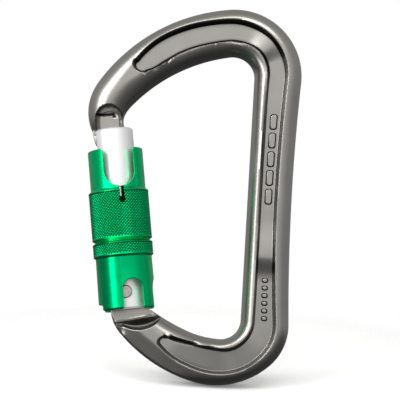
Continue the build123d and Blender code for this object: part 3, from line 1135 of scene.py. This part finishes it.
FINISHES = {
    "forged_alloy": forged_alloy(),
    "barrel_alloy": anodised_green(),
    "gate_alloy": satin_silver(),
    "rivet_steel": steel(
        "rivet_steel", (0.50, 0.46, 0.44), (0.66, 0.62, 0.60), (0.25, 0.4), (4, 1, 4)
    ),
    "spring_steel": steel(
        "spring_steel", (0.55, 0.54, 0.52), (0.75, 0.74, 0.73), (0.18, 0.3), (3, 3, 3)
    ),
    "ring_steel": steel("ring_steel", (0.42, 0.42, 0.43), (0.6, 0.6, 0.6), (0.25, 0.4), (1, 1, 6)),
}
SLOT_OF = {
    "gate": "gate_alloy",
    "hinge_rivet": "rivet_steel",
    "gate_plunger": "rivet_steel",
    "gate_spring": "spring_steel",
    "barrel_spring": "spring_steel",
    "guide_pin": "rivet_steel",
    "stop_ring": "ring_steel",
    "spring_washer": "ring_steel",
    "retaining_clip": "ring_steel",
}


def finish_with(obj, slot):
    """Gives an object one of the finishes."""
    if not obj.data.materials:
        obj.data.materials.append(None)
    for i in range(len(obj.data.materials)):
        obj.data.materials[i] = FINISHES[slot]


for node, slot in SLOT_OF.items():
    finish_with(frame["nodes"][node], slot)

for piece, node, body, slot in (
    (body_piece, "body", "frame", "forged_alloy"),
    (barrel_piece, "locking_barrel", "barrel", "barrel_alloy"),
):
    finish_with(piece, slot)
    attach(piece, body)
    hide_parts(node)
finish_with(leg_piece, "spring_steel")
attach(leg_piece, "barrel")
for piece in relief_pieces:
    finish_with(piece, "forged_alloy")
    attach(piece, "frame")
body_piece.name = "body_visual"
barrel_piece.name = "barrel_visual"


def working_spring(node, body):
    """A copy of a coil spring, put in place of the part and carried whole by one body."""
    source = frame["nodes"][node]
    mesh = source.data.copy()
    mesh.transform(source.matrix_world)
    spring = bpy.data.objects.new(f"{node}_visual", mesh)
    bpy.context.collection.objects.link(spring)
    height = vertices_of(mesh) @ AXIS
    finish_with(spring, "spring_steel")
    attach(spring, body)
    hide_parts(node)
    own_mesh(spring)


working_spring("gate_spring", "gate")
working_spring("barrel_spring", "barrel_slider")


# ---------------------------------------------------------------- floor, light and camera
FLOOR_TILT = math.radians(14.4)
FLOOR_RADIUS = 0.21
FLOOR_GAP = 0.00005
FLOOR_GLOW = 0.12
FLOOR_FADE = (0.04, 0.10)
MIDDLE = (-0.008, 0, -0.044)
# The upward parts of a direction between which the room dims, and its strength below and above
ROOM_FALL = (-0.20, 0.09, 0.22, 1.0)
# What is added to that for diffuse rays
ROOM_LIFT = 0.8
CAMERA_PLACE = (-0.0046, -0.5643, -0.1067)
CAMERA_TARGET = (-0.0079, 0, -0.0435)
CAMERA_ROLL = math.radians(3)


def lowest_on_floor():
    """The body's lowest point, measured along the floor's own normal."""
    normal = np.array([0, -math.sin(FLOOR_TILT), math.cos(FLOOR_TILT)])
    return (vertices_of(body_piece.data) @ normal).min()


def pale_floor():
    """A white sheet under the object that fades into the white room."""
    s = Shader("floor_white")
    path = s.node("ShaderNodeLightPath")
    s.set(
        Base_Color=(0.9, 0.9, 0.9, 1), Roughness=0.9, Emission_Color=(1, 1, 1, 1),
        Emission_Strength=s.span(path.outputs["Is Camera Ray"], 0, FLOOR_GLOW, (0, 1)),
    )
    distance = s.node("ShaderNodeVectorMath", operation="LENGTH")
    s.link(s.place, distance.inputs[0])
    fade = s.span(distance.outputs["Value"], 0, 1, FLOOR_FADE)
    clear = s.node("ShaderNodeBsdfTransparent")
    geometry = s.node("ShaderNodeNewGeometry")
    most = s.node("ShaderNodeMath", operation="MAXIMUM")
    s.link(fade, most.inputs[0])
    s.link(geometry.outputs["Backfacing"], most.inputs[1])
    mix = s.node("ShaderNodeMixShader")
    s.link(most.outputs[0], mix.inputs[0])
    s.link(s.bsdf.outputs[0], mix.inputs[1])
    s.link(clear.outputs[0], mix.inputs[2])
    s.link(mix.outputs[0], s.output.inputs[0])
    return s.material


def make_floor():
    """A round sheet just under the body's lowest point, tilted to suit the camera."""
    count = 64
    angle = np.arange(count) * 2 * math.pi / count
    rim = np.stack([np.cos(angle), np.sin(angle), 0 * angle], 1)
    floor = new_object("floor", FLOOR_RADIUS * rim / MM, [tuple(range(count))])
    floor.data.materials.append(pale_floor())
    floor.visible_glossy = False
    offset = lowest_on_floor() - FLOOR_GAP
    y = -math.sin(FLOOR_TILT) * offset
    z = math.cos(FLOOR_TILT) * offset
    floor.rotation_euler = (FLOOR_TILT, 0, 0)
    floor.location = (0, y, z)


def look(obj, target, up=(0, 0, 1)):
    """Turns a camera or light to face a point."""
    forward = (Vector(target) - obj.location).normalized()
    right = forward.cross(Vector(up)).normalized()
    over = right.cross(forward)
    obj.matrix_world = Matrix((
        (right.x, over.x, -forward.x, obj.location.x),
        (right.y, over.y, -forward.y, obj.location.y),
        (right.z, over.z, -forward.z, obj.location.z),
        (0, 0, 0, 1),
    ))


def softbox(name, place, size, power):
    """A rectangular light aimed at the object."""
    light = bpy.data.lights.new(name, "AREA")
    light.shape = "RECTANGLE"
    light.size, light.size_y = size
    light.energy = power
    obj = bpy.data.objects.new(name, light)
    bpy.context.collection.objects.link(obj)
    obj.location = place
    look(obj, MIDDLE)


ROOM_DIRECTIONS = [
    ((0, 0, -1), (0.17, 0.185, 0.20)),
    ((0, 0, 1), (0.44, 0.435, 0.41)),
    ((0, -1, 0), (0.95, 0.945, 0.93)),
    ((0, 1, 0), (0.30, 0.30, 0.30)),
    ((-1, 0, 0), (0.44, 0.44, 0.44)),
    ((1, 0, 0), (0.40, 0.40, 0.41)),
]


def maths(tree, operation, *inputs):
    """A scalar node's output. Each input is a socket or a number."""
    made = tree.nodes.new("ShaderNodeMath")
    made.operation = operation
    for socket, value in zip(made.inputs, inputs):
        if hasattr(value, "is_linked"):
            tree.links.new(value, socket)
        else:
            socket.default_value = value
    return made.outputs[0]


def light_from(tree, place, direction, colour):
    """A colour that is full along the direction and falls to nothing square to it."""
    facing = tree.nodes.new("ShaderNodeVectorMath")
    facing.operation = "DOT_PRODUCT"
    facing.inputs[1].default_value = direction
    tree.links.new(place, facing.inputs[0])
    toward = facing.outputs["Value"]
    squared = maths(tree, "MULTIPLY", toward, toward)
    weight = maths(tree, "MULTIPLY", squared, maths(tree, "GREATER_THAN", toward, 0.0))
    part = tree.nodes.new("ShaderNodeVectorMath")
    part.operation = "SCALE"
    part.inputs[0].default_value = colour
    tree.links.new(weight, part.inputs["Scale"])
    return part.outputs[0]


def room():
    """A white room to the camera. To everything else it is a soft box, dark below."""
    world = bpy.data.worlds.new("studio")
    bpy.context.scene.world = world
    world.use_nodes = True
    tree = world.node_tree
    tree.nodes.clear()
    output = tree.nodes.new("ShaderNodeOutputWorld")
    background = tree.nodes.new("ShaderNodeBackground")
    white = tree.nodes.new("ShaderNodeBackground")
    white.inputs[0].default_value = (1, 1, 1, 1)
    white.inputs[1].default_value = 1.0
    place = tree.nodes.new("ShaderNodeTexCoord").outputs["Generated"]
    total, *others = [light_from(tree, place, *side) for side in ROOM_DIRECTIONS]
    for other in others:
        add = tree.nodes.new("ShaderNodeVectorMath")
        add.operation = "ADD"
        tree.links.new(total, add.inputs[0])
        tree.links.new(other, add.inputs[1])
        total = add.outputs[0]
    split = tree.nodes.new("ShaderNodeSeparateXYZ")
    tree.links.new(place, split.inputs[0])
    fall = tree.nodes.new("ShaderNodeMapRange")
    fall.interpolation_type = "SMOOTHSTEP"
    for socket, value in zip(fall.inputs[1:5], ROOM_FALL):
        socket.default_value = value
    tree.links.new(split.outputs["Z"], fall.inputs[0])
    tree.links.new(total, background.inputs[0])
    path = tree.nodes.new("ShaderNodeLightPath")
    strength = maths(
        tree, "MULTIPLY_ADD", path.outputs["Is Diffuse Ray"], ROOM_LIFT, fall.outputs[0]
    )
    tree.links.new(strength, background.inputs[1])
    mix = tree.nodes.new("ShaderNodeMixShader")
    tree.links.new(path.outputs["Is Camera Ray"], mix.inputs[0])
    tree.links.new(background.outputs[0], mix.inputs[1])
    tree.links.new(white.outputs[0], mix.inputs[2])
    tree.links.new(mix.outputs[0], output.inputs[0])


def photograph_camera():
    """The photograph's view: from in front and a little below, with a slight roll."""
    data = bpy.data.cameras.new("camera")
    data.sensor_width = 36
    data.lens = 171.9
    data.clip_start = 0.01
    data.clip_end = 20
    camera = bpy.data.objects.new("camera", data)
    bpy.context.collection.objects.link(camera)
    camera.location = CAMERA_PLACE
    look(camera, CAMERA_TARGET, (-math.sin(CAMERA_ROLL), 0, math.cos(CAMERA_ROLL)))
    bpy.context.scene.camera = camera
    bpy.context.scene.view_settings.view_transform = "Standard"


make_floor()
softbox("key", (-0.40, -0.52, 0.26), (0.30, 0.30), 1.5)
softbox("over", (0.05, -0.50, 0.42), (0.5, 0.16), 1.0)
softbox("strip", (-0.42, -0.34, 0.0), (0.14, 0.40), 0.7)
room()
photograph_camera()
